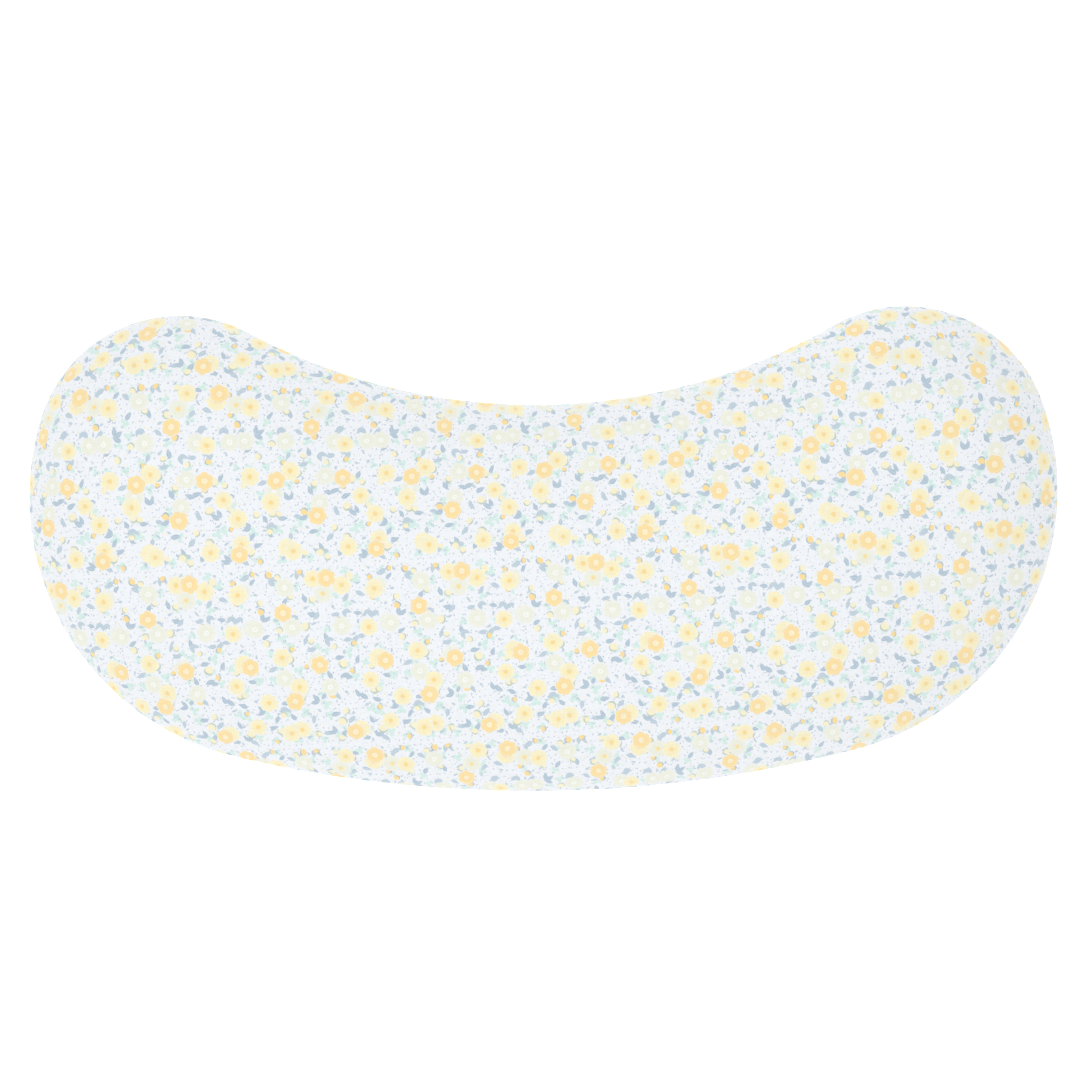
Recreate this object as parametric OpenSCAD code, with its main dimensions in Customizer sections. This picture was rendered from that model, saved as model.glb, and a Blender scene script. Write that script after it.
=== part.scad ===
// Crescent nursing pillow: a zipped cotton cover over a fibre-filled inner pillow.
// Origin: on the surface it lies on, below the middle of the pillow.
// +X runs towards the right lobe, +Y towards the waist hollow, +Z up.

/* [Pillow outline] */
// Width across both lobes
pillow_w = 660; // [600:5:720]
// Radius of the shallow front edge, before scaling to the width
front_r = 830; // [780:10:880]
// Half angle of the front edge
front_sweep = 14; // [13:0.5:15]
// Radius of each flank
side_r = 173; // [168:1:178]
// Angle that each flank turns through
side_sweep = 93.5; // [92:0.5:95]
// Radius of each lobe's tip
tip_r = 94; // [90:1:98]
// Angle that each tip turns through
tip_sweep = 101.5; // [100:0.5:103]

/* [Loft] */
// Height of the crown above the edge seam
crown_h = 56; // [50:1:70]
// Height of the edge seam above the resting face
seam_h = 46; // [42:1:50]
// Depth the underside would have if nothing flattened it
belly_h = 60; // [56:1:70]
// How full the cross-section is: 2 is a lens, more is squarer
fullness = 2.3; // [2:0.1:3]
// How sharp the cross-section's edge is: 1 is a lens's edge, less is plumper
edge_power = 0.65; // [0.6:0.05:1]

/* [Cloth] */
// Thickness of the padded cover cloth
cover_t = 1.5; // [1.2:0.1:2]
// Thickness of the inner pillow's casing
liner_t = 1; // [0.8:0.1:1.4]
// How far the inner pillow's edge lies inside the cover's edge
liner_inset = 14; // [13.5:0.5:18]
// Width of the overlocked seam allowance
allowance_w = 7; // [6:0.5:8]

/* [Zip] */
// Where the zip line runs across the underside
zip_y = 0; // [-6:1:8]
// Closed end of the zip
zip_close_x = 190; // [180:1:195]
// How far the slider travels
zip_travel = 362; // [300:1:365]
// Half width of the slot in the underside that holds the zip
slot_half_w = 8; // [7:0.5:10]
// Height of the zip tapes' outer face above the resting face
tape_z = 9; // [9:0.5:10]
// Width of each zip tape
tape_w = 14; // [12:1:15]
// Length of the slider's body
slider_l = 12; // [10:1:14]
// Length of the pull tab from its pivot
pull_l = 24; // [18:1:26]

/* [Hidden] */
$fn = 48;

// How many straight steps each arc of the edge is drawn with
FRONT_STEPS = 5;
SIDE_STEPS = 14;
TIP_STEPS = 14;
WAIST_STEPS = 7;
RINGS = 6;

// The crown is level inside this share of the way out from the spine
crown_level = 0.42;
// A clear step that makes a cut pass right through
CUT = 1;
FAR = 400;

rim_w = cover_t * 1.2;
liner_rim_w = liner_t * 1.3;
allowance_t = 1.2;
seam_gap = 5;
liner_floor = 3.2;
fill_inset = liner_inset + 11;

tape_t = 0.7;
tape_gap = 0.9;
coil_r = 1.1;
coil_y = 1.9;
slot_x = zip_close_x + 16;
stop_w = 2.5;
coil_end_x = zip_close_x + slider_l / 2 + 0.5;
coil_start_x = zip_close_x - zip_travel - slider_l / 2 - 3.5;
plate_t = 1.1;
plate_half_w = 5;
outer_plate_z = 5.3;
inner_plate_z = tape_z + tape_t + 0.5;
pivot_z = 3.9;
pivot_r = 0.85;
lug_r = 2;
lug_w = 1.6;
pull_t = 1.3;
groove_top = inner_plate_z + plate_t + 1.1;

// ---------------------------------------------------------------- edge outline

// Where a point is after turning through an angle on an arc that starts on a heading
function turned(start, heading, r, sweep) =
    start + r * [sin(heading + sweep) - sin(heading), cos(heading) - cos(heading + sweep)];

function arc_points(start, heading, r, sweep, steps) =
    [for (i = [0 : steps - 1]) turned(start, heading, r, sweep * i / steps)];

side_start = turned([0, 0], 0, front_r, front_sweep);
tip_heading = front_sweep + side_sweep;
tip_start = turned(side_start, front_sweep, side_r, side_sweep);
waist_heading = tip_heading + tip_sweep;
waist_start = turned(tip_start, tip_heading, tip_r, tip_sweep);
// The waist arc closes the outline on the centre line
waist_sweep = waist_heading - 180;
waist_r = waist_start.x / sin(waist_sweep);
waist_mid = turned(waist_start, waist_heading, -waist_r, -waist_sweep);
tip_centre = tip_start + tip_r * [-sin(tip_heading), cos(tip_heading)];
side_centre = side_start + side_r * [-sin(front_sweep), cos(front_sweep)];

raw_half_w = side_centre.x + side_r;
raw_depth = tip_centre.y + tip_r;
edge_scale = pillow_w / 2 / raw_half_w;

function placed(p) = edge_scale * (p - [0, raw_depth / 2]);
function mirrored(p) = [-p.x, p.y];

right_half = [for (p = concat(
    arc_points([0, 0], 0, front_r, front_sweep, FRONT_STEPS),
    arc_points(side_start, front_sweep, side_r, side_sweep, SIDE_STEPS),
    arc_points(tip_start, tip_heading, tip_r, tip_sweep, TIP_STEPS),
    arc_points(waist_start, waist_heading, -waist_r, -waist_sweep, WAIST_STEPS),
    [waist_mid])) placed(p)];
half_count = len(right_half);
outline = concat(right_half, [for (i = [half_count - 2 : -1 : 1]) mirrored(right_half[i])]);
outline_count = len(outline);

// The spine is the arc that runs along the middle of the band, from lobe to lobe
lobe = placed(tip_centre);
spine_y = (placed([0, 0]).y + placed(waist_mid).y) / 2;
spine_rise = lobe.y - spine_y;
spine_r = (lobe.x * lobe.x + spine_rise * spine_rise) / (2 * spine_rise);
spine_centre_y = spine_y + spine_r;
lobe_angle = atan2(lobe.x, spine_centre_y - lobe.y);

function foot(p) =
    let (a = max(-lobe_angle, min(lobe_angle, atan2(p.x, spine_centre_y - p.y))))
    [spine_r * sin(a), spine_centre_y - spine_r * cos(a)];

// The outline drawn in by a distance, then shrunk towards the spine
function inner_point(p, inset, share) =
    let (f = foot(p), reach = norm(p - f))
    f + (p - f) * (1 - inset / reach) * share;
function inset_outline(inset, share = 1) = [for (p = outline) inner_point(p, inset, share)];

// ---------------------------------------------------------------- swollen shapes

// Height of a swollen panel at a share of the way out from its spine
function swell(height, share) = height * pow(1 - pow(share, fullness), edge_power);
function share_at(height, level) = pow(1 - pow(level / height, 1 / edge_power), 1 / fullness);
function ring_share(k, cap) = cap + (1 - cap) * cos(90 * k / RINGS);

// One half of a swollen form, standing on z = 0, level inside the cap share
module dome(inset, height, cap, skirt = 0) {
    skirt_ring = [for (p = inset_outline(inset)) [p.x, p.y, -skirt]];
    rings = [for (k = [0 : RINGS])
        let (share = ring_share(k, cap))
        for (p = inset_outline(inset, share)) [p.x, p.y, swell(height, share)]];
    points = concat(skirt > 0 ? skirt_ring : [], rings);
    rows = len(points) / outline_count;
    base = [for (i = [0 : outline_count - 1]) i];
    top = [for (i = [outline_count - 1 : -1 : 0]) (rows - 1) * outline_count + i];
    walls = [for (k = [0 : rows - 2]) for (i = [0 : outline_count - 1])
        let (a = k * outline_count + i, b = k * outline_count + (i + 1) % outline_count)
        [a, a + outline_count, b + outline_count, b]];
    polyhedron(points, concat([base, top], walls), convexity = 6);
}

module upper_half(inset, height, skirt = 0) {
    translate([0, 0, seam_h]) dome(inset, height / swell(1, crown_level), crown_level, skirt);
}

module lower_half(inset, height, level, skirt = 0) {
    translate([0, 0, seam_h]) mirror([0, 0, 1])
        dome(inset, height, share_at(height, seam_h - level), skirt);
}

// Clear space above the zip that the inner pillow is pressed in by
module zip_groove(grow) {
    half_w = tape_gap + tape_w + 2 + grow;
    translate([-slot_x - 4 - grow, zip_y - half_w, -CUT])
        cube([2 * (slot_x + 4 + grow), 2 * half_w, groove_top + grow + CUT]);
}

module ring_band(outer_inset, inner_inset, thickness) {
    translate([0, 0, seam_h - thickness / 2]) linear_extrude(thickness) difference() {
        polygon(inset_outline(outer_inset));
        polygon(inset_outline(inner_inset));
    }
}

// ---------------------------------------------------------------- cover

module cover_top_panel() {
    color("ivory") difference() {
        upper_half(0, crown_h);
        upper_half(rim_w, crown_h - cover_t, CUT);
    }
}

module under_shell() {
    difference() {
        lower_half(0, belly_h, 0);
        lower_half(rim_w, belly_h - cover_t, cover_t, CUT);
    }
}

module zip_slot() {
    translate([-slot_x, zip_y - slot_half_w, -CUT])
        cube([2 * slot_x, 2 * slot_half_w, tape_z + CUT]);
}

// The turned-in edge of an under panel, which the zip tape is sewn to
module turned_edge() {
    difference() {
        translate([-slot_x - cover_t, zip_y - slot_half_w - cover_t, 0])
            cube([2 * (slot_x + cover_t), slot_half_w + cover_t, tape_z]);
        zip_slot();
    }
}

// The under panel on the front side of the zip line
module cover_front_under_panel() {
    color("ivory") union() {
        difference() {
            under_shell();
            translate([-FAR, zip_y, -CUT]) cube([2 * FAR, FAR, seam_h + 2 * CUT]);
            zip_slot();
        }
        turned_edge();
    }
}

module cover_waist_under_panel() {
    color("ivory") union() {
        difference() {
            under_shell();
            translate([-FAR, zip_y - FAR, -CUT]) cube([2 * FAR, FAR, seam_h + 2 * CUT]);
            zip_slot();
        }
        translate([0, 2 * zip_y, 0]) mirror([0, 1, 0]) turned_edge();
    }
}

// The two raw edges, overlocked together and turned inside
module cover_edge_seam() {
    color("white") ring_band(seam_gap, seam_gap + allowance_w, allowance_t);
}

// Pressed seam allowances where the under panels meet, past each end of the zip
module cover_under_seams() {
    seam_l = 50;
    for (side = [0, 1])
        color("white") mirror([side, 0, 0])
            translate([slot_x + 8, zip_y - allowance_w, cover_t])
                cube([seam_l, 2 * allowance_w, allowance_t]);
}

// Folded woven ribbon, caught in the zip seam inside the cover
module care_label() {
    label_w = 32;
    label_l = 45;
    label_t = 0.6;
    label_x = 60;
    color("white")
        translate([label_x, zip_y - slot_half_w - cover_t - label_l, cover_t])
            cube([label_w, label_l, label_t]);
}

// ---------------------------------------------------------------- zip

// Tape on one side of the zip line: side is 1 towards the waist, -1 towards the front
module zip_tape(side) {
    low_y = side > 0 ? zip_y + tape_gap : zip_y - tape_gap - tape_w;
    color("white") translate([-slot_x, low_y, tape_z]) cube([2 * slot_x, tape_w, tape_t]);
}

module zip_tape_front() {
    zip_tape(-1);
}

module zip_tape_waist() {
    zip_tape(1);
}

// Continuous nylon coil, drawn as the D-shaped rib that its turns fill
module zip_coil(side) {
    coil_l = coil_end_x - coil_start_x;
    color("whitesmoke") translate([coil_start_x, zip_y + side * coil_y, tape_z - coil_r]) {
        rotate([0, 90, 0]) cylinder(r = coil_r, h = coil_l);
        translate([0, -coil_r, 0]) cube([coil_l, 2 * coil_r, coil_r]);
    }
}

module zip_coil_front() {
    zip_coil(-1);
}

module zip_coil_waist() {
    zip_coil(1);
}

// Crimped on the tape's inner edge, open towards the tape
module crimp(low_x, low_y, width) {
    difference() {
        translate([low_x, low_y, tape_z - 1.6]) cube([stop_w, width, tape_t + 2.2]);
        for (side = [-1, 1])
            translate([low_x - CUT, side > 0 ? zip_y + tape_gap : zip_y - tape_gap - tape_w, tape_z])
                cube([stop_w + 2 * CUT, tape_w, tape_t]);
    }
}

module zip_top_stops() {
    crimp_w = 2.8;
    color("white") {
        crimp(coil_end_x + 0.5, zip_y + tape_gap - 0.6, crimp_w);
        crimp(coil_end_x + 0.5, zip_y - tape_gap + 0.6 - crimp_w, crimp_w);
    }
}

module zip_bottom_stop() {
    crimp_w = 6.8;
    color("white") crimp(coil_start_x - 0.5 - stop_w, zip_y - crimp_w / 2, crimp_w);
}

// A flat plate with rounded ends, lying along the zip
module rounded_plate(length, half_w, thickness) {
    linear_extrude(thickness) intersection() {
        square([length, 2 * half_w], center = true);
        circle(d = length * 1.12);
    }
}

module zip_slider() {
    web_l = 3;
    web_t = 0.7;
    flange_t = 1.2;
    flange_h = tape_z - 0.5 - outer_plate_z;
    flange_l = slider_l * 0.72;
    color("white") translate([zip_close_x, zip_y, 0]) {
        translate([0, 0, outer_plate_z]) rounded_plate(slider_l, plate_half_w, plate_t);
        translate([0, 0, inner_plate_z]) rounded_plate(slider_l, plate_half_w, plate_t);
        for (side = [-1, 1])
            translate([-flange_l / 2, side * (plate_half_w - flange_t / 2) - flange_t / 2, outer_plate_z])
                cube([flange_l, flange_t, flange_h]);
        translate([slider_l / 2 - web_l - 0.5, -web_t / 2, outer_plate_z])
            cube([web_l, web_t, inner_plate_z - outer_plate_z + plate_t / 2]);
        difference() {
            union() {
                translate([0, lug_w / 2, pivot_z]) rotate([90, 0, 0]) cylinder(r = lug_r, h = lug_w);
                translate([-lug_r, -lug_w / 2, pivot_z])
                    cube([2 * lug_r, lug_w, outer_plate_z + plate_t / 2 - pivot_z]);
            }
            translate([0, lug_w, pivot_z]) rotate([90, 0, 0])
                cylinder(r = pivot_r + 0.1, h = 2 * lug_w);
        }
    }
}

// Tab with a slotted end that straddles the slider's lug on a round crossbar
module zip_pull() {
    pull_half_w = 3;
    slot_half = lug_w / 2 + 0.4;
    color("white") translate([zip_close_x, zip_y, pivot_z]) {
        translate([0, pull_half_w, 0]) rotate([90, 0, 0])
            cylinder(r = pivot_r, h = 2 * pull_half_w);
        translate([0, 0, -pull_t / 2]) linear_extrude(pull_t) difference() {
            union() {
                translate([pull_half_w - pull_l, -pull_half_w])
                    square([pull_l - pull_half_w, 2 * pull_half_w]);
                translate([pull_half_w - pull_l, 0]) circle(r = pull_half_w);
            }
            translate([-lug_r - 0.6, -slot_half]) square([FAR, 2 * slot_half]);
            translate([pull_half_w - pull_l, 0]) circle(r = 1.2);
        }
    }
}

// ---------------------------------------------------------------- inner pillow

module liner_top_panel() {
    color("gainsboro") difference() {
        upper_half(liner_inset, crown_h - 3);
        upper_half(liner_inset + liner_rim_w, crown_h - 3 - liner_t, CUT);
    }
}

module liner_bottom_panel() {
    color("gainsboro") difference() {
        lower_half(liner_inset, belly_h - 3.5, liner_floor);
        zip_groove(0);
        difference() {
            lower_half(liner_inset + liner_rim_w, belly_h - 3.5 - liner_t, liner_floor + liner_t, CUT);
            zip_groove(liner_t);
        }
    }
}

// The casing's own seam allowance, turned inside it
module liner_edge_seam() {
    color("gainsboro") ring_band(liner_inset + 3, liner_inset + 3 + allowance_w, liner_t);
}

// The turning gap, folded in and sewn shut after filling: a flat ridge on the waist edge
module liner_closing_seam() {
    gap_w = 150;
    ridge_w = 1.6;
    color("white") intersection() {
        ring_band(liner_inset - ridge_w, liner_inset, liner_t);
        translate([-gap_w / 2, spine_y, 0]) cube([gap_w, FAR, FAR]);
    }
}

// Loose polyester fibre, as the space it fills
module fibre_fill() {
    color("snow") difference() {
        union() {
            upper_half(fill_inset, crown_h - 6);
            lower_half(fill_inset, belly_h - 7, liner_floor + liner_t + 0.6);
        }
        zip_groove(liner_t + 0.8);
    }
}

cover_top_panel();
cover_front_under_panel();
cover_waist_under_panel();
cover_edge_seam();
cover_under_seams();
care_label();
zip_tape_front();
zip_tape_waist();
zip_coil_front();
zip_coil_waist();
zip_top_stops();
zip_bottom_stop();
zip_slider();
zip_pull();
liner_top_panel();
liner_bottom_panel();
liner_edge_seam();
liner_closing_seam();
fibre_fill();
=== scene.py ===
"""Looks of the crescent nursing pillow: printed cotton cover, zip and inner pillow around the CAD frame."""

import math

import bmesh
import bpy
import numpy as np
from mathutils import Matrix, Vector
from mathutils.geometry import delaunay_2d_cdt
from mathutils.kdtree import KDTree
from mathutils.noise import fractal


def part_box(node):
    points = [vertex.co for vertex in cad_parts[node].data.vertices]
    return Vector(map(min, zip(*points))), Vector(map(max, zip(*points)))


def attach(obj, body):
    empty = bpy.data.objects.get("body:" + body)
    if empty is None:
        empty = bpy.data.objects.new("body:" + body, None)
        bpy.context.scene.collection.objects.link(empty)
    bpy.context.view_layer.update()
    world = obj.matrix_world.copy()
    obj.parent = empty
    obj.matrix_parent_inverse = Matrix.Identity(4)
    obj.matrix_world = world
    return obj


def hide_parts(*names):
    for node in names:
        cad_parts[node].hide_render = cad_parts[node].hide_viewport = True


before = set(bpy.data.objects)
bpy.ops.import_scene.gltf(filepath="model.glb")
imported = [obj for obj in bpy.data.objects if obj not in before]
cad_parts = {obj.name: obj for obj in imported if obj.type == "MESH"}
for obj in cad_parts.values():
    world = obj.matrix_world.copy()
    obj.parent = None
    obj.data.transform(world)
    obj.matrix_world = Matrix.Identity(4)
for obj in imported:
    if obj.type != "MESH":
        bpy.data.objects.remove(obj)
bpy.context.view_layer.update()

# ------------------------------------------------------------------ driving sizes, in metres

# The edge seam as tangent arcs, from the middle of the front edge round to the waist
FRONT_R, FRONT_TURN = 0.830, math.radians(14)
SIDE_R, SIDE_TURN = 0.173, math.radians(93.5)
TIP_R, TIP_TURN = 0.094, math.radians(101.5)

cover_low, cover_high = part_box("cover_top_panel")
PILLOW_W = cover_high[0] - cover_low[0]
SEAM_Z = cover_low[2]
CROWN_H = cover_high[2] - SEAM_Z
# How far the underside would swell below the seam if it lay on nothing
BELLY_H = 0.060
# The swollen cross-section: how flat its middle is, and how blunt its edge
FULLNESS, EDGE_POWER = 2.9, 0.65
# The underside's lowest cloth, just clear of the surface that it lies on
REST_Z = 0.0002

CLOTH_T = 0.0006
# Half the gap that the edge seam leaves between the two panels before they turn in
SEAM_GAP = 0.0008
# The same at the cross seams, past the ends of the zip
CROSS_GAP = 0.00015
# The allowance that the panels are cut with, and the width that is left of it inside the seam
ALLOWANCE = 0.010
ALLOWANCE_W = 0.007

tape_low, tape_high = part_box("zip_tape_waist")
ZIP_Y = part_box("cover_front_under_panel")[1][1]
TAPE_Z, TAPE_TOP = tape_low[2], tape_high[2]
TAPE_GAP = tape_low[1] - ZIP_Y
SLOT_X = tape_high[0]
SLOT_HALF = 0.008
# How far the zip's topstitching lies outside its slot
STITCH_OFFSET = 0.0025

# The inner pillow's edge and its filling's edge, inside the cover's edge
LINER_INSET = 0.014
FILL_INSET = 0.025
# Half the width of the hollow that the zip presses into the inner pillow, and its height
HOLLOW_HALF, HOLLOW_TOP = 0.0169, 0.0124

THREAD_R = 0.00018
LABEL_T = 0.00025

# The slider's plates and lug, and the pull that turns on it
PLATE_T = 0.0011
OUTER_PLATE_Z = 0.0053
LUG_R, LUG_W = 0.002, 0.0016
PIVOT_R = 0.00085
PULL_T = 0.0013
PIVOT_Z = (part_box("zip_pull")[0][2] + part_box("zip_pull")[1][2]) / 2

# The print hardly narrows at the edges: it is laid out as if the panels had this share of their height
PRINT_LOFT = 0.5
# How far the print of each under panel is moved along its cut
UNDER_PRINT_SHIFT = {"front": 0.031, "waist": 0.052}

# Shares of the way out from the spine: where a panel ends, and where the belly starts to lift off
EDGE_SHARE, BELLY_REST_SHARE = 0.999, 0.62
# The cloth simulation of a cover panel
CLOTH = {
    "quality": 5,
    "mass": 0.2,
    "tension_stiffness": 30,
    "compression_stiffness": 30,
    "shear_stiffness": 15,
    "bending_stiffness": 2.0,
    "tension_damping": 15,
    "compression_damping": 15,
    "air_damping": 5,
    "shrink_min": 0,
    "shrink_max": -0.035,
    "use_pressure": True,
    "uniform_pressure_force": 2.2,
}
# How many frames it runs for, and how far it may carry a point
FRAMES, MOST_MOVED = 18, 0.008

STEP = 0.0034


# ------------------------------------------------------------------ the pillow's outline


def strides(chain):
    """The length of each step along a chain of points."""
    return np.linalg.norm(np.diff(chain, axis=0), axis=1)


def turned(start, heading, radius, turn):
    """Where a point is after an arc: radius is negative for an arc that turns clockwise."""
    across = [math.sin(heading + turn) - math.sin(heading), math.cos(heading) - math.cos(heading + turn)]
    return start + radius * np.array(across)


def edge_arcs():
    """(start, heading, radius, turn) of each arc of the right half, and where the last one ends."""
    arcs, at, heading = [], np.zeros(2), 0.0
    for radius, turn in ((FRONT_R, FRONT_TURN), (SIDE_R, SIDE_TURN), (TIP_R, TIP_TURN)):
        arcs.append((at, heading, radius, turn))
        at, heading = turned(at, heading, radius, turn), heading + turn
    waist_turn = heading - math.pi
    waist_r = at[0] / math.sin(waist_turn)
    arcs.append((at, heading, -waist_r, -waist_turn))
    return arcs, turned(at, heading, -waist_r, -waist_turn)


def fine_outline():
    """The whole edge as a fine loop, counter-clockwise from the middle of the front edge, and its scale."""
    arcs, waist_mid = edge_arcs()
    fine = 300
    half = [turned(s, h, r, t * i / fine) for s, h, r, t in arcs for i in range(fine)]
    half = np.array(half + [waist_mid])
    scale = PILLOW_W / 2 / half[:, 0].max()
    half = (half - [0, (half[:, 1].max() + half[:, 1].min()) / 2]) * scale
    return np.concatenate([half, (half * [-1, 1])[-2:0:-1]]), scale


def evenly(loop, step, closed=True):
    """The chain again, with points about step apart."""
    chain = np.concatenate([loop, loop[:1]]) if closed else np.asarray(loop, float)
    along = np.concatenate([[0], np.cumsum(strides(chain))])
    count = max(8, round(along[-1] / step))
    at = np.linspace(0, along[-1], count + (not closed), endpoint=not closed)
    return np.stack([np.interp(at, along, chain[:, i]) for i in range(chain.shape[1])], 1)


def straight(a, b, step=0.002):
    """Even points along a straight line."""
    return evenly([a, b], step, closed=False)


def find_spine():
    """The arc along the middle of the band: its radius, its centre's height and its half angle."""
    arcs, waist_mid = edge_arcs()
    start, heading, radius, _ = arcs[2]
    front_y = OUTLINE[:, 1].min()
    lobe = (start + radius * np.array([-math.sin(heading), math.cos(heading)])) * EDGE_SCALE + [0, front_y]
    mid_y = front_y + waist_mid[1] * EDGE_SCALE / 2
    rise = lobe[1] - mid_y
    spine_r = (lobe[0] ** 2 + rise**2) / (2 * rise)
    return spine_r, mid_y + spine_r, math.atan2(lobe[0], mid_y + spine_r - lobe[1])


OUTLINE, EDGE_SCALE = fine_outline()
SPINE_R, SPINE_Y, LOBE_ANGLE = find_spine()


def from_spine(points):
    """Each flat point's nearest spine point, the direction away from it and the distance."""
    angle = np.clip(np.arctan2(points[:, 0], SPINE_Y - points[:, 1]), -LOBE_ANGLE, LOBE_ANGLE)
    feet = np.stack([SPINE_R * np.sin(angle), SPINE_Y - SPINE_R * np.cos(angle)], 1)
    away = points[:, :2] - feet
    distance = np.linalg.norm(away, axis=1)
    return feet, away / np.maximum(distance, 1e-9)[:, None], distance


def reach_to(loop, feet, away):
    """How far it is from each foot to the closed loop, going away from the spine."""
    start, side = loop, np.roll(loop, -1, 0) - loop
    reach = np.zeros(len(feet))
    for i in range(0, len(feet), 2000):
        d = away[i : i + 2000, None]
        to = start - feet[i : i + 2000, None]
        cross = d[..., 0] * side[:, 1] - d[..., 1] * side[:, 0]
        cross = np.where(np.abs(cross) < 1e-15, 1e-15, cross)
        t = (to[..., 0] * side[:, 1] - to[..., 1] * side[:, 0]) / cross
        u = (to[..., 0] * d[..., 1] - to[..., 1] * d[..., 0]) / cross
        hit = (u >= -1e-6) & (u <= 1 + 1e-6) & (t > 0)
        reach[i : i + 2000] = np.where(hit, t, 1e9).min(1)
    return reach


def nearest_index(points, others):
    """For each flat point, which of the others is nearest, and how far off."""
    tree = KDTree(len(others))
    for i, p in enumerate(others):
        tree.insert((p[0], p[1], 0), i)
    tree.balance()
    found = [tree.find((p[0], p[1], 0)) for p in points]
    return np.array([f[1] for f in found]), np.array([f[2] for f in found])


def smooth_noise(points, size, seed, octaves=2):
    """Soft noise between about -1 and 1 whose bumps are size across, the same on every run."""
    shift = Vector((seed * 7.3, seed * 3.1, seed * 5.7))
    return np.array([fractal(Vector(p) / size + shift, 1.0, 2.0, octaves) for p in points])


def seam_wobble(points):
    """How far the edge seam's own line rises and falls as it runs round the pillow."""
    flat = np.column_stack([points[:, :2], np.zeros(len(points))])
    return 0.0011 * smooth_noise(flat, 0.05, 3) + 0.0004 * smooth_noise(flat, 0.011, 4)


# ------------------------------------------------------------------ swollen panels


def drawn_in(loop, inset):
    """The loop moved in towards the spine."""
    feet, away, distance = from_spine(loop)
    return feet + away * (distance - inset)[:, None]


def inset_outline(inset, step=0.002):
    """The outline drawn in towards the spine, as an even loop."""
    return evenly(drawn_in(OUTLINE, inset), step)


class Swelling:
    """A swollen cross-section: its height at each share of the way out from the spine, and its length."""

    def __init__(self, height, limit=1.0, inset=0.0):
        self.height, self.limit = height, limit
        self.edge = inset_outline(inset)
        self.shares = 1 - (1 - np.linspace(0, 1, 400)) ** 2.5
        _, _, reach = from_spine(self.edge)
        self.reaches = np.linspace(reach.min() * 0.98, reach.max() * 1.02, 40)
        rise = np.diff(self.at(self.shares))
        run = np.diff(self.shares) * self.reaches[:, None]
        lengths = np.cumsum(np.hypot(run, rise), 1)
        self.lengths = np.concatenate([np.zeros((len(self.reaches), 1)), lengths], 1)

    def at(self, share):
        """The height over the seam, eased into the limit that the surface below sets."""
        full = self.height * (1 - np.clip(share, 0, 1) ** FULLNESS) ** EDGE_POWER
        ease = 0.0015
        return full - ease * np.log1p(np.exp((full - self.limit) / ease))

    def rows(self, reach):
        """The table of lengths, read between its rows for each reach."""
        place = np.interp(reach, self.reaches, np.arange(len(self.reaches)))
        row = np.minimum(place.astype(int), len(self.reaches) - 2)
        part = (place - row)[:, None]
        return self.lengths[row] * (1 - part) + self.lengths[row + 1] * part

    def laid_flat(self, points):
        """Where points inside the outline, seen from above, lie once the cross-section is laid flat."""
        feet, away, distance = from_spine(points)
        reach = reach_to(self.edge, feet, away)
        length = [np.interp(x, self.shares, row) for x, row in zip(distance / reach, self.rows(reach))]
        return feet + away * np.array(length)[:, None]

    def raised(self, flat):
        """The other way: flat points' places seen from above, and their share of the way out."""
        feet, away, distance = from_spine(flat)
        reach = reach_to(self.edge, feet, away)
        share = np.array([np.interp(x, row, self.shares) for x, row in zip(distance, self.rows(reach))])
        share = np.where(share > 0.9985, 1, share)
        return feet + away * (reach * share)[:, None], share


def inside(points, loop):
    """Which points are inside the closed loop."""
    result = np.zeros(len(points), bool)
    x, y = points[:, 0], points[:, 1]
    for a, b in zip(loop, np.roll(loop, -1, 0)):
        if a[1] == b[1]:
            continue
        spans = (a[1] > y) != (b[1] > y)
        result ^= spans & (x < (b[0] - a[0]) * (y - a[1]) / (b[1] - a[1]) + a[0])
    return result


def in_cut(points, loops):
    """Which points are inside the first loop and outside the others."""
    kept = inside(points, loops[0])
    for hole in loops[1:]:
        kept &= ~inside(points, hole)
    return kept


def filled(loops, lines=(), step=STEP):
    """Even triangles inside the first loop and outside the others, following the open lines too."""
    low, high = loops[0].min(0), loops[0].max(0)
    row = step * math.sqrt(3) / 2
    lattice = [
        (x + (step / 2 if j % 2 else 0), low[1] + j * row)
        for j in range(int((high[1] - low[1]) / row) + 1)
        for x in np.arange(low[0], high[0], step)
    ]
    lattice = np.array(lattice)
    lattice = lattice[in_cut(lattice, loops)]
    lattice = lattice[nearest_index(lattice, np.concatenate([*loops, *lines]))[1] > 0.62 * step]
    points, edges = [*map(tuple, lattice)], []
    for chain, closed in [(loop, True) for loop in loops] + [(line, False) for line in lines]:
        first = len(points)
        points += [*map(tuple, chain)]
        edges += [(first + i, first + i + 1) for i in range(len(chain) - 1)]
        edges += [(first + len(chain) - 1, first)] if closed else []
    verts, _, faces, *_ = delaunay_2d_cdt([Vector(p) for p in points], edges, [], 0, 1e-7)
    verts, faces = np.array([tuple(v) for v in verts]), np.array(faces)
    return verts, faces[in_cut(verts[faces].mean(1), loops)]


def placed(name, data):
    """A new object that holds the data, in the scene."""
    thing = bpy.data.objects.new(name, data)
    bpy.context.scene.collection.objects.link(thing)
    return thing


def new_mesh(name, verts, faces):
    mesh = bpy.data.meshes.new(name)
    mesh.from_pydata([tuple(map(float, v)) for v in verts], [], [tuple(map(int, f)) for f in faces])
    mesh.update()
    mesh.shade_smooth()
    return placed(name, mesh)


def read(items, name, width=3, kind=float):
    """One property of all the items, as rows of width numbers."""
    flat = np.zeros(len(items) * width, kind)
    items.foreach_get(name, flat)
    return flat.reshape(-1, width)


def points_of(piece):
    return read(piece.data.vertices, "co")


def set_points(piece, points):
    piece.data.vertices.foreach_set("co", np.asarray(points, float).ravel())
    piece.data.update()


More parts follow.
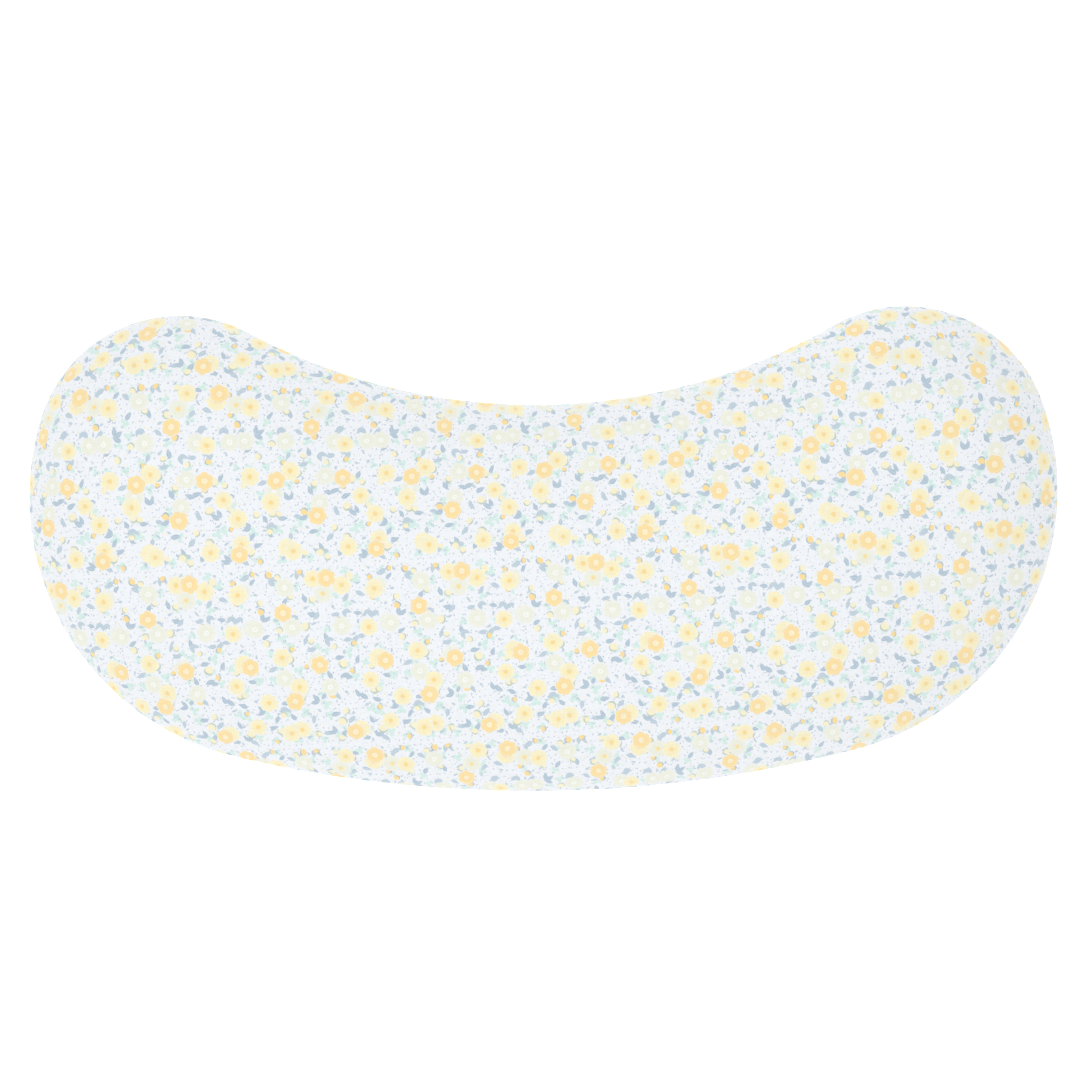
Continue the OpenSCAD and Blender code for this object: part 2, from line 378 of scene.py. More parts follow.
def modified(piece, kind, **settings):
    """Replaces the piece's mesh with what one modifier makes of it."""
    modifier = piece.modifiers.new(kind, kind)
    for name, value in settings.items():
        setattr(modifier, name, value)
    shown = piece.evaluated_get(bpy.context.evaluated_depsgraph_get())
    mesh = bpy.data.meshes.new_from_object(shown)
    piece.modifiers.clear()
    old, piece.data = piece.data, mesh
    mesh.name = piece.name
    bpy.data.meshes.remove(old)


def thicken(piece, thickness=CLOTH_T):
    """Gives an open sheet its thickness, on its inner side."""
    modified(piece, "SOLIDIFY", thickness=thickness, offset=-1, use_rim=True)


def round_over(piece, width):
    modified(piece, "BEVEL", width=width, segments=3, limit_method="ANGLE", angle_limit=math.radians(30))


def add_weights(piece, name, weights):
    group = piece.vertex_groups.new(name=name)
    for i in np.flatnonzero(weights > 0):
        group.add([int(i)], float(weights[i]), "REPLACE")
    return group.name


def edge_bend(points):
    """How sharply the outline turns nearest to each point, in 1/m: negative along the waist."""
    loop = evenly(OUTLINE, 0.004)
    before, after = loop - np.roll(loop, 1, 0), np.roll(loop, -1, 0) - loop
    turn = np.arctan2(before[:, 0] * after[:, 1] - before[:, 1] * after[:, 0], (before * after).sum(1))
    bend = turn / np.linalg.norm(after, axis=1)
    for _ in range(12):
        bend = (np.roll(bend, 1) + bend * 2 + np.roll(bend, -1)) / 4
    return bend[nearest_index(points, loop)[0]]


def blow_up(piece, held, loose):
    """Cloth simulation: held points stay, loose cloth grows a little, and air presses the panel out."""
    start = points_of(piece)
    cloth = piece.modifiers.new("cloth", "CLOTH")
    for name, value in CLOTH.items():
        setattr(cloth.settings, name, value)
    cloth.settings.effector_weights.gravity = 0
    cloth.settings.vertex_group_mass = add_weights(piece, "held", held)
    cloth.settings.vertex_group_shrink = add_weights(piece, "loose", loose)
    cloth.collision_settings.use_collision = False
    cloth.collision_settings.use_self_collision = False
    cloth.point_cache.frame_start = 1
    cloth.point_cache.frame_end = FRAMES
    scene = bpy.context.scene
    for number in range(1, FRAMES + 1):
        scene.frame_set(number)
    settled = piece.evaluated_get(bpy.context.evaluated_depsgraph_get())
    moved = read(settled.data.vertices, "co") - start
    scene.frame_set(1)
    piece.modifiers.clear()
    piece.vertex_groups.clear()
    moved *= np.minimum(1, MOST_MOVED / np.maximum(np.linalg.norm(moved, axis=1), 1e-9))[:, None]
    set_points(piece, start + moved)


def face_areas(points, faces):
    a, b, c = points[faces[:, 0]], points[faces[:, 1]], points[faces[:, 2]]
    return np.linalg.norm(np.cross(b - a, c - a), axis=1) / 2


def store_print(piece, places):
    """Keeps where each point of the cloth lies in the print."""
    attribute = piece.data.attributes.new("cloth_at", "FLOAT_VECTOR", "POINT")
    attribute.data.foreach_set("vector", places.ravel())


def lay_print(piece, faces):
    """Unwraps the panel, in metres and lined up with the pillow, as the point attribute cloth_at."""
    mesh = piece.data
    points = points_of(piece)
    lowered = points * [1, 1, PRINT_LOFT]
    set_points(piece, lowered)
    mesh.uv_layers.new(name="unwrapped")
    bpy.context.view_layer.objects.active = piece
    bpy.ops.object.mode_set(mode="EDIT")
    bpy.ops.mesh.select_all(action="SELECT")
    bpy.ops.uv.unwrap(method="ANGLE_BASED", margin=0)
    bpy.ops.object.mode_set(mode="OBJECT")
    layer = mesh.uv_layers["unwrapped"]
    uv = np.zeros((len(points), 2))
    uv[read(mesh.loops, "vertex_index", 1, int)[:, 0]] = read(layer.uv, "vector", 2)
    mesh.uv_layers.remove(layer)
    set_points(piece, points)
    flat = np.column_stack([uv, np.zeros(len(uv))])
    uv *= math.sqrt(face_areas(lowered, faces).sum() / face_areas(flat, faces).sum())
    uv -= uv.mean(0)
    there = points[:, 0] + 1j * points[:, 1]
    there = there - there.mean()
    fits = []
    for here in (uv[:, 0] + 1j * uv[:, 1], uv[:, 0] - 1j * uv[:, 1]):
        turn = (there * here.conjugate()).sum()
        fits.append((abs(turn), here * turn / abs(turn)))
    best = max(fits, key=lambda fit: fit[0])[1]
    store_print(piece, np.column_stack([best.real, best.imag, np.zeros(len(uv))]))


def swollen_panel(name, swelling, side, loops, lines=(), step=STEP, gap=SEAM_GAP):
    """A panel of cloth swollen up (side 1) or down (side -1) from the seam, before it is blown up."""
    flat, faces = filled(loops, lines, step)
    seen, share = swelling.raised(flat)
    faces = faces if side > 0 else faces[:, ::-1]
    wobble = seam_wobble(seen) * share**6
    z = SEAM_Z + side * (gap + swelling.at(share) * (1 - gap / swelling.at(0))) + wobble
    piece = new_mesh(name, np.column_stack([seen, z]), faces)
    return piece, share, faces, face_areas(np.column_stack([flat, 0 * z]), faces)


# ------------------------------------------------------------------ turned and folded edges


def ways_out(edges):
    """For each place along the boundary edges, the level direction that leaves the cloth."""
    ways = {}
    for edge in edges:
        along = edge.verts[1].co - edge.verts[0].co
        inwards = edge.link_faces[0].calc_center_median() - edge.verts[0].co
        out = inwards.project(along) - inwards
        out.z = 0
        for v in edge.verts:
            ways[tuple(v.co)] = ways.get(tuple(v.co), Vector()) + out.normalized()
    return ways


def fold_edges(piece, chosen, steps):
    """Extrudes the boundary edges that chosen accepts, once for each step that moves their points."""
    work = bmesh.new()
    work.from_mesh(piece.data)
    work.normal_update()
    print_place = work.verts.layers.float_vector.get("cloth_at")
    edges = [e for e in work.edges if e.is_boundary and all(chosen(v.co) for v in e.verts)]
    ways = ways_out(edges)
    for step in steps:
        made = bmesh.ops.extrude_edge_only(work, edges=edges)["geom"]
        normals = {tuple(v.co): v.normal.copy() for e in edges for v in e.verts}
        new_points = {g for g in made if isinstance(g, bmesh.types.BMVert)}
        edges = [g for g in made if isinstance(g, bmesh.types.BMEdge) and new_points.issuperset(g.verts)]
        new_ways = {}
        for v in new_points:
            start, way = v.co.copy(), ways[tuple(v.co)]
            v.co = step(start, normals[tuple(start)])
            if print_place:
                v[print_place] += way.normalized() * (v.co - start).length
            new_ways[tuple(v.co)] = way
        ways = new_ways
    work.to_mesh(piece.data)
    work.free()
    piece.data.update()
    piece.data.shade_smooth()


def inward_from_seam(distance, height):
    """A step that carries an edge point in from the outline, to a height over the seam's own line."""

    def step(co, normal):
        feet, away, _ = from_spine(np.array([[co.x, co.y]]))
        lift = seam_wobble(np.array([[co.x, co.y]]))[0]
        return Vector((co.x - away[0, 0] * distance, co.y - away[0, 1] * distance, SEAM_Z + lift + height))

    return step


# ------------------------------------------------------------------ threads and small hardware


def tube(name, paths, radius, closed=False, sides=2):
    """Round threads or wires along the paths, as one mesh."""
    curve = bpy.data.curves.new(name, "CURVE")
    curve.dimensions = "3D"
    curve.bevel_depth = radius
    curve.bevel_resolution = sides - 1
    curve.use_fill_caps = True
    for path in paths:
        spline = curve.splines.new("POLY")
        spline.points.add(len(path) - 1)
        spline.points.foreach_set("co", np.column_stack([path, np.ones(len(path))]).ravel())
        spline.use_cyclic_u = closed
    holder = bpy.data.objects.new(name, curve)
    mesh = bpy.data.meshes.new_from_object(holder)
    bpy.data.objects.remove(holder)
    bpy.data.curves.remove(curve)
    mesh.name = name
    mesh.shade_smooth()
    return placed(name, mesh)


def stitch_paths(a, b, length, pitch, sink):
    """Short arched stitches along a straight line: each end dives into the cloth by sink."""
    places = straight(a, b, pitch)
    t = np.linspace(0, 1, 6)
    dip = np.outer(np.abs(2 * t - 1) ** 3, sink)
    steps = (places[1:] - places[:-1]) * length / pitch
    return [start + step * t[:, None] + dip for start, step in zip(places, steps)]


def extruded(name, outline, low, high, bevel):
    """A bar with the given outline, its edges rounded over."""
    outline = np.asarray(outline)
    count = len(outline)
    verts = [(*p, low) for p in outline] + [(*p, high) for p in outline]
    sides = [(i, (i + 1) % count, (i + 1) % count + count, i + count) for i in range(count)]
    piece = new_mesh(name, verts, [range(count - 1, -1, -1), range(count, 2 * count), *sides])
    round_over(piece, bevel)
    return piece


def plate(name, loops, low, high, bevel, step=0.0005):
    """A flat plate between two heights, with the first loop as its outline and the others as its holes."""
    verts, faces = filled([evenly(np.asarray(loop), step) for loop in loops], step=step)
    piece = new_mesh(name, np.column_stack([verts, np.full(len(verts), high)]), faces)
    thicken(piece, high - low)
    round_over(piece, bevel)
    return piece


def on_side(piece, shift):
    """Turns a plate on its side: with shift 1 its thickness runs along x, with -1 along y."""
    set_points(piece, np.roll(points_of(piece), shift, axis=1))
    return piece


def circle(centre, radius, start=0.0, end=2 * math.pi):
    angle = np.linspace(start, end, 40)
    return np.asarray(centre) + radius * np.column_stack([np.cos(angle), np.sin(angle)])


def ribbon(name, near, far, across, closed=False):
    """A sheet ruled between two 3-D lines of as many points, with across quads from one to the other."""
    share = np.linspace(0, 1, across + 1)[:, None, None]
    points = (near * (1 - share) + far * share).reshape(-1, 3)
    count = len(near)
    faces = []
    for row in range(across):
        for i in range(count if closed else count - 1):
            a, b = row * count + i, row * count + (i + 1) % count
            faces.append((a, b, b + count, a + count))
    return new_mesh(name, points, faces)


def join(pieces, name):
    """Several mesh objects as one."""
    work = bmesh.new()
    for piece in pieces:
        work.from_mesh(piece.data)
    mesh = bpy.data.meshes.new(name)
    work.to_mesh(mesh)
    work.free()
    for piece in pieces:
        old = piece.data
        bpy.data.objects.remove(piece)
        bpy.data.meshes.remove(old)
    mesh.shade_smooth()
    return placed(name, mesh)


# ------------------------------------------------------------------ material building


def arithmetic(operation):
    """An operator of Wire."""
    return lambda one, other: calc(operation, one, other)


class Wire:
    """A number inside a material: arithmetic on it adds the nodes that work it out."""

    def __init__(self, tree, socket):
        self.tree, self.socket = tree, socket

    def __rsub__(self, other):
        return calc("SUBTRACT", other, self)

    __add__ = __radd__ = arithmetic("ADD")
    __mul__ = __rmul__ = arithmetic("MULTIPLY")
    __sub__ = arithmetic("SUBTRACT")
    __truediv__ = arithmetic("DIVIDE")
    __mod__ = arithmetic("FLOORED_MODULO")
    __lt__ = arithmetic("LESS_THAN")


def feed(socket, value):
    """Gives an input socket a wire, another node's output or a plain value."""
    value = value.socket if isinstance(value, Wire) else value
    if isinstance(value, bpy.types.NodeSocket):
        socket.id_data.links.new(value, socket)
    else:
        socket.default_value = value


def calc(operation, *values, clamp=False):
    """A math node on wires and plain numbers."""
    tree = next(v.tree for v in values if isinstance(v, Wire))
    node = tree.nodes.new("ShaderNodeMath")
    node.operation = operation
    node.use_clamp = clamp
    for socket, value in zip(node.inputs, values):
        feed(socket, value)
    return Wire(tree, node.outputs[0])


def within(depth, soft):
    """1 where depth is above zero and 0 below it, with an edge that is soft wide."""
    return calc("MULTIPLY_ADD", depth, 1 / soft, 0.5, clamp=True)


def ink(code):
    """A colour from its hexadecimal sRGB code, as linear light."""
    channels = [int(code[i : i + 2], 16) / 255 for i in (0, 2, 4)]
    return [c / 12.92 if c <= 0.04045 else ((c + 0.055) / 1.055) ** 2.4 for c in channels] + [1]


class Paint:
    """A material's node tree with the shader at its end."""

    def __init__(self, name, roughness, **finish):
        self.material = bpy.data.materials.new(name)
        self.material.use_nodes = True
        self.tree = self.material.node_tree
        self.shader = self.tree.nodes["Principled BSDF"]
        self.shader.inputs["Roughness"].default_value = roughness
        for socket, value in finish.items():
            self.shader.inputs[socket.replace("_", " ")].default_value = value

    def node(self, kind, **inputs):
        """A new node with those inputs fed."""
        node = self.tree.nodes.new("ShaderNode" + kind)
        for name, value in inputs.items():
            feed(node.inputs[name], value)
        return node

    def parts(self, socket):
        return [Wire(self.tree, s) for s in self.node("SeparateXYZ", Vector=socket).outputs]

    def coordinates(self, attribute=None):
        """The x, y and z wires of an attribute, or of the object's own space."""
        if not attribute:
            return self.parts(self.node("TexCoord").outputs["Object"])
        node = self.node("Attribute")
        node.attribute_name = attribute
        return self.parts(node.outputs["Vector"])

    def vector(self, *values):
        return self.node("CombineXYZ", **dict(zip("XYZ", values))).outputs[0]

    def noise(self, scale, *place, detail=2.0, colours=False):
        """Soft noise from 0 to 1 at the place, or its three colour channels."""
        node = self.node("TexNoise", Scale=scale, Detail=detail, Vector=self.vector(*place))
        return self.parts(node.outputs["Color"]) if colours else Wire(self.tree, node.outputs[0])

    def random(self, *place):
        """Four unrelated random numbers for each whole-numbered place."""
        numbers = self.parts(self.node("TexWhiteNoise", Vector=self.vector(*place)).outputs["Color"])
        return [*numbers, calc("FRACT", numbers[1] * 61)]

    def choose(self, chance, *colours):
        """One of the colours: each is (the chance below which it holds, its code), the last for the rest."""
        node = self.node("ValToRGB", Fac=chance)
        node.color_ramp.interpolation = "CONSTANT"
        start = 0.0
        for i, (below, code) in enumerate(colours):
            stop = node.color_ramp.elements[i] if i < 2 else node.color_ramp.elements.new(start)
            stop.position = start
            stop.color = ink(code)
            start = below
        return node.outputs[0]

    def mix(self, under, over, amount):
        """The colour over, laid on the colour under by amount."""
        node = self.node("Mix", Factor=amount)
        node.data_type = "RGBA"
        feed(node.inputs[6], under)
        feed(node.inputs[7], over)
        return node.outputs[2]

    def colour(self, value):
        feed(self.shader.inputs["Base Color"], value)

    def roughness(self, wire):
        feed(self.shader.inputs["Roughness"], wire)

    def bump(self, height, distance, strength=1.0):
        """Relief from a height wire of 0 to 1 that stands for the distance in metres."""
        node = self.node("Bump", Strength=strength, Distance=distance, Height=height)
        feed(self.shader.inputs["Normal"], node.outputs[0])


def weave(x, y, pitch):
    """Height of a plain weave from 0 to 1: threads of both directions go over and under each other."""
    across, up = (calc("SINE", place * (math.pi / pitch)) for place in (x, y))
    return calc("MULTIPLY_ADD", across * up, 0.5, 0.5)


def ridges(place, pitch):
    """Height of rounded ridges from 0 to 1."""
    return calc("MULTIPLY_ADD", calc("SINE", place * (2 * math.pi / pitch)), 0.5, 0.5)


# ------------------------------------------------------------------ the cotton print

# The print's repeat, the softness of its edges and its ground
TILE_W, TILE_H = 0.085, 0.116
INK_EDGE = 0.00022
GROUND = "F2F5F9"
# Below these chances a flower is deep yellow, pale yellow, or cream with a white eye
DEEP, PALE, WHITE_EYED = 0.27, 0.62, 0.82
FLOWER = {
    "fill": ((DEEP, "FEE4A8"), (PALE, "FBF3CC"), (1, "F1F2E4")),
    "vein": ((DEEP, "FDDD97"), (PALE, "FBEDBA"), (1, "ECEFDB")),
    "eye": ((DEEP, "FDF3D4"), (PALE, "FCE09A"), (WHITE_EYED, "FAFAF5"), (1, "FBE6AA")),
    "pip": ((DEEP, "FBE6B4"), (PALE, "FAD788"), (WHITE_EYED, "EBEEDC"), (1, "F8D78E")),
}


def scattered(paint, x, y, columns, rows, room, seed):
    """Cells in brick rows that repeat with the print: the way from a random spot in each, and its chances."""
    # A motif as wide as room stays inside its cell
    wide, tall = TILE_W / columns, TILE_H / rows
    row = calc("FLOOR", y / tall)
    x = x + (row % 2) * (wide / 2)
    column = calc("FLOOR", x / wide)
    chance = paint.random(column % columns, row % rows, seed)
    across = x - column * wide - wide / 2 - (chance[0] - 0.5) * max(wide - room, 0)
    up = y - row * tall - tall / 2 - (chance[1] - 0.5) * max(tall - room, 0)
    return across, up, chance


def distance_from(across, up):
    return calc("SQRT", across * across + up * up)


def spun(across, up, turns):
    """The same place, in axes turned by a share of a full turn."""
    angle = turns * (2 * math.pi)
    cosine, sine = calc("COSINE", angle), calc("SINE", angle)
    return across * cosine + up * sine, up * cosine - across * sine


def petals_at(angle, pairs):
    """A wave of 0 to 1 with rounded tops and sharp notches, twice pairs of them in a full turn."""
    return calc("SQRT", calc("ABSOLUTE", calc("SINE", angle * pairs)))


def flower(paint, under, across, up, kind, turns, size, shown):
    """A flower of one of three kinds: deep yellow with 6 petals, or pale yellow or cream with 8."""
    angle = calc("ARCTAN2", up, across) + turns * (2 * math.pi)
    radius = distance_from(across, up)
    rim = size * (petals_at(angle, 4 - (kind < DEEP)) * 0.21 + 0.79) - radius
    fill, vein, eye, pip = (paint.choose(kind, *colours) for colours in FLOWER.values())
    rays = calc("ABSOLUTE", calc("SINE", angle * 9))
    veins = within((rays - 0.55) * 0.001 - calc("ABSOLUTE", radius - size * 0.5) * 0.5 + 0.0002, 0.0004)
    eye_rim = (petals_at(angle, 4) * 0.0006 + 0.0012) - radius
    colour = paint.mix(fill, vein, veins * 0.7)
    colour = paint.mix(colour, eye, within(eye_rim, INK_EDGE))
    colour = paint.mix(colour, pip, within(0.0005 - radius, INK_EDGE))
    under = paint.mix(under, ink(GROUND), within(rim + 0.00035, INK_EDGE) * shown)
    return paint.mix(under, colour, within(rim, INK_EDGE) * shown)


def leaf_depth(along, beside, length, width):
    """How deep inside a pointed leaf a place is: along runs from its stalk to its tip."""
    share = calc("DIVIDE", along, length, clamp=True)
    beyond = calc("ABSOLUTE", along - share * length)
    half = share * (1 - share) * (1.35 - share * 0.7) * (2 * width)
    return half - calc("ABSOLUTE", beside) - beyond


def leaves(paint, under, across, up, turns, pair, size, blade, colour, shown):
    """One leaf, or a fishtail pair where pair is 1. The blade is a leaf's length and width."""
    length, width = blade
    along, beside = spun(across, up, turns)
    along, beside = along / size + length / 2, beside / size
    splay = 0.5
    beside = calc("ABSOLUTE", beside) * pair + beside * (1 - pair)
    cosine, sine = 1 - pair * (1 - math.cos(splay)), pair * math.sin(splay)
    along, beside = along * cosine + beside * sine, beside * cosine - along * sine
    curved = beside + along * along * (0.06 / length) - along * 0.04
    depth = leaf_depth(along, curved, length, width)
    rib = within(0.00016 - calc("ABSOLUTE", curved), 0.00016)
    ribbed = paint.mix(colour, ink("D3DFE8"), rib * 0.55)
    return paint.mix(under, ribbed, within(depth, INK_EDGE) * shown)


def bud(paint, under, across, up, turns, kind, size, shown):
    """A round bud with a crescent calyx below it."""
    along, beside = spun(across, up, turns)
    fill = paint.choose(kind, (0.45, "FDE09A"), (1, "FAF2CE"))
    green = paint.choose(kind, (0.45, "AFC2CE"), (1, "C3D2C6"))
    calyx = within(distance_from(along - size * 0.42, beside) - size, INK_EDGE)
    colour = paint.mix(fill, green, calyx)
    return paint.mix(under, colour, within(size - distance_from(along, beside), INK_EDGE) * shown)


def mint_spray(paint, under, across, up, turns, size, shown):
    """A pale spray of three leaves."""
    angle = calc("ARCTAN2", up, across) + turns * (2 * math.pi)
    lobes = calc("ABSOLUTE", calc("SINE", angle * 1.5))
    rim = size * (lobes * 0.75 + 0.25) - distance_from(across, up)
    return paint.mix(under, ink("D6EFE8"), within(rim, 0.0003) * shown)


def print_colour(paint, x, y):
    """The ditsy floral print, worked out layer by layer from the ground up, at a place in metres."""
    tilt = math.radians(3)
    x, y = x * math.cos(tilt) + y * math.sin(tilt), y * math.cos(tilt) - x * math.sin(tilt)
    hand = paint.noise(420, x, y, detail=1, colours=True)
    x, y = x + (hand[0] - 0.5) * 0.0011, y + (hand[1] - 0.5) * 0.0011

    def layer(columns, rows, room, seed):
        """The way from a motif's middle, and two chances: of its being shown, and of its turn."""
        across, up, chance = scattered(paint, x, y, columns, rows, room, seed)
        return across, up, chance[2], chance[3]

    colour = ink(GROUND)
    for columns, rows, seed, most in ((5, 7, 11, 0.8), (6, 8, 12, 0.6)):
        across, up, chance, turns = layer(columns, rows, 0.0078, seed)
        size = chance * 0.0014 + 0.0027
        colour = mint_spray(paint, colour, across, up, turns, size, chance < most)

    for columns, rows, seed in ((19, 26, 21), (17, 22, 22), (24, 31, 23)):
        across, up, chance, other = layer(columns, rows, 0.0014, seed)
        dot = within(other * 0.0002 + 0.00028 - distance_from(across, up), INK_EDGE)
        shade = paint.choose(chance, (0.55, "BFC9D8"), (0.65, "F8EDC4"), (1, "D2E5E2"))
        colour = paint.mix(colour, shade, dot * (chance < 0.8))

    small, large = (0.0034, 0.0014), (0.0062, 0.0027)
    across, up, chance, turns = layer(9, 12, 0.0046, 31)
    size = chance * 0.5 + 0.8
    colour = leaves(paint, colour, across, up, turns, 0, size, small, ink("BFCFDB"), chance < 0.62)
    single, mostly_pairs = (7, 9, 0.0076, 41, 0, 0.74), (5, 6, 0.0104, 42, 0.42, 0.84)
    for columns, rows, room, seed, pairs, most in (single, mostly_pairs):
        across, up, chance, turns = layer(columns, rows, room, seed)
        blue = paint.choose(turns, (0.5, "B2C6D5"), (1, "BED0DC"))
        size = chance * 0.3 + 0.9
        colour = leaves(paint, colour, across, up, turns, chance < pairs, size, large, blue, chance < most)
    for columns, rows, seed, least, most in ((4, 5, 51, 0.0022, 0.8), (6, 8, 52, 0.0016, 0.7)):
        across, up, chance, turns = layer(columns, rows, 0.0068, seed)
        colour = bud(paint, colour, across, up, turns, chance, chance * 0.0007 + least, turns < most)

    # Two layers of pale yellow and cream flowers, under one of deep yellow ones
    pale_or_cream, deep_only = (0.28, 0.72), (0, 0.26)
    for columns, rows, seed, most, (first, span) in (
        (3, 4, 61, 0.92, pale_or_cream),
        (4, 5, 62, 0.5, pale_or_cream),
        (2, 3, 63, 0.95, deep_only),
    ):
        across, up, chance, turns = layer(columns, rows, 0.0124, seed)
        kind = calc("FRACT", chance * 7) * span + first
        colour = flower(paint, colour, across, up, kind, turns, turns * 0.0006 + 0.0055, chance < most)
    return colour


def printed_cotton():
    """Plain-woven cotton with a small floral print in yellows, cream, mint and blue-grey."""
    paint = Paint("printed_cotton", 0.88, Sheen_Weight=0.12, Sheen_Roughness=0.5, Specular_IOR_Level=0.25)
    x, y, _ = paint.coordinates("cloth_at")
    colour = print_colour(paint, x, y)
    slub = paint.noise(1, x * 900, y * 160, detail=1) + paint.noise(1, x * 160, y * 900, detail=1)
    colour = paint.mix(colour, ink("D8DBE2"), calc("MULTIPLY_ADD", slub, 0.5, -0.42, clamp=True))
    paint.colour(colour)
    thread = weave(x, y, 0.00036)
    crease = paint.noise(70, x, y, detail=3)
    paint.roughness(thread * 0.08 + 0.84)
    paint.bump(thread * 0.12 + crease, 0.0006, 0.6)
    return paint.material


def plain_cotton(name, code, pitch=0.0004):
    paint = Paint(name, 0.9, Sheen_Weight=0.1, Sheen_Roughness=0.5, Specular_IOR_Level=0.25)
    x, y, z = paint.coordinates()
    cloud = paint.noise(40, x, y, z, detail=3)
    paint.colour(paint.mix(ink(code), ink("DCDDDD"), cloud * 0.35))
    paint.bump(weave(x, y, pitch) * 0.3 + cloud, 0.0006, 0.7)
    return paint.material


def zip_tape_cloth():
    """White herringbone tape: twill lines that turn back every few millimetres across it."""
    paint = Paint("zip_tape_cloth", 0.8, Sheen_Weight=0.08, Sheen_Roughness=0.5, Specular_IOR_Level=0.3)
    x, y, _ = paint.coordinates()
    height = ridges(x + calc("PINGPONG", y, 0.0017), 0.0007)
    paint.colour(paint.mix(ink("EDEEEC"), ink("DADCDB"), height * 0.5))
    paint.bump(height, 0.00015, 0.8)
    return paint.material


def nylon():
    paint = Paint("nylon", 0.38, Specular_IOR_Level=0.5)
    x, y, z = paint.coordinates()
    streak = paint.noise(1, x * 3000, y * 500, z * 500)
    paint.colour(paint.mix(ink("F3F3EF"), ink("DFE0DC"), streak))
    paint.roughness(streak * 0.15 + 0.3)
    paint.bump(streak, 0.00004)
    return paint.material


def white_enamel():
    """Baked white enamel on die-cast zinc, a little orange-peeled."""
    paint = Paint("white_enamel", 0.3, Coat_Weight=0.35, Coat_Roughness=0.12)
    x, y, z = paint.coordinates()
    peel = paint.noise(1500, x, y, z)
    grime = paint.noise(260, x, y, z, detail=3)
    paint.colour(paint.mix(ink("F2F2EF"), ink("D5D6D4"), calc("MULTIPLY_ADD", grime, 1.2, -0.45, clamp=True)))
    paint.roughness(grime * 0.2 + 0.2)
    paint.bump(peel, 0.00004)
    return paint.material


def sewing_thread():
    paint = Paint("sewing_thread", 0.65, Sheen_Weight=0.1, Sheen_Roughness=0.4)
    x, y, z = paint.coordinates()
    twist = ridges(x + y + z, 0.0005)
    paint.colour(paint.mix(ink("F3F4F4"), ink("D9DBDD"), twist * 0.8))
    paint.bump(twist, 0.00005)
    return paint.material


def satin_ribbon():
    paint = Paint("satin_ribbon", 0.38, Sheen_Weight=0.15, Sheen_Roughness=0.3)
    x, y, _ = paint.coordinates()
    cloud = paint.noise(120, x, y)
    paint.colour(paint.mix(ink("F6F6F4"), ink("E4E5E3"), cloud * 0.6))
    paint.roughness(cloud * 0.2 + 0.28)
    paint.bump(ridges(y, 0.0003), 0.00004)
    return paint.material


def fibre():
    """Loose fibre: short soft tangles over larger tufts."""
    paint = Paint("polyester_fibre", 0.95, Sheen_Weight=0.3, Sheen_Roughness=0.6)
    x, y, z = paint.coordinates()
    tufts = paint.noise(60, x, y, z, detail=6)
    strands = paint.noise(1, x * 1800, y * 420, z * 900, detail=3)
    paint.colour(paint.mix(ink("F6F6F5"), ink("DDDEDF"), strands * 0.5))
    paint.bump(tufts + strands * 0.2, 0.003, 0.8)
    return paint.material


COTTON = printed_cotton()
LINER_COTTON = plain_cotton("liner_cotton", "EFEFEC")
RAW_EDGE_COTTON = plain_cotton("raw_edge_cotton", "F1F2F3", 0.00036)
TAPE = zip_tape_cloth()
NYLON = nylon()
ENAMEL = white_enamel()
THREAD = sewing_thread()
RIBBON = satin_ribbon()
FIBRE = fibre()


def dress(piece, material, slot, *nodes, body="pillow"):
    """Gives a piece its material and its body, and hides the CAD nodes that it stands for. Its slot is not
    used.
    """
    piece.data.materials.clear()
    piece.data.materials.append(material)
    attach(piece, body)
    if nodes:
        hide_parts(*nodes)
    return piece


# ------------------------------------------------------------------ the cover's three panels


def seam_loop():
    """The outline with even points, two of them just where the zip's line crosses it, and those two."""
    above = np.flatnonzero(OUTLINE[:, 1] > ZIP_Y)
    first, last = above[0], above[-1]

    def crossing(a, b):
        return a + (b - a) * (ZIP_Y - a[1]) / (b[1] - a[1])

    right = crossing(OUTLINE[first - 1], OUTLINE[first])
    left = crossing(OUTLINE[last], OUTLINE[last + 1])
    waist_side = np.concatenate([[right], OUTLINE[first : last + 1], [left]])
    front_side = np.concatenate([[left], OUTLINE[last + 1 :], OUTLINE[:first], [right]])
    halves = [evenly(half, STEP, closed=False)[:-1] for half in (waist_side, front_side)]
    return np.concatenate(halves), right, left


SEAM_LOOP, RIGHT_END, LEFT_END = seam_loop()
SEAM_LENGTH = strides(OUTLINE).sum()


def loosened(piece, share):
    """How much ease each point's cloth has: most near the edge where the outline turns sharply outwards."""
    sharp, least = 9, 0.12
    bend = np.clip(edge_bend(points_of(piece)) / sharp, least, 1)
    return np.clip((share - 0.55) / 0.4, 0, 1) * bend


def rim_edges(co):
    """Whether a point is on the outer edge seam."""
    feet, away, distance = from_spine(np.array([[co.x, co.y]]))
    return abs(reach_to(SEAM_LOOP, feet, away)[0] - distance[0]) < 0.0006


def anywhere(co):
    return True


def turn_in_rim(piece, side, chosen=rim_edges):
    """Rolls the panel's edge in at the seam, on its own side of the seam's line."""
    steps = [(0.0003, 0.00045), (0.0007, 0.0003), (0.0040, 0.0003)]
    fold_edges(piece, chosen, [inward_from_seam(inset, side * height) for inset, height in steps])


def settle(piece, share, held):
    start = points_of(piece)
    uneven = 0.0005
    start[:, 2] += uneven * smooth_noise(start, 0.02, 1) * ~held
    set_points(piece, start)
    blow_up(piece, 1.0 * held, loosened(piece, share))


def cover_top():
    crown = Swelling(CROWN_H)
    cut = crown.laid_flat(SEAM_LOOP)
    piece, share, faces, areas = swollen_panel("cover_top", crown, 1, [cut])
    lay_print(piece, faces)
    settle(piece, share, share > EDGE_SHARE)
    turn_in_rim(piece, 1)
    thicken(piece)
    dress(piece, COTTON, "printed_cotton", "cover_top_panel")
    area = areas.sum() + SEAM_LENGTH * ALLOWANCE


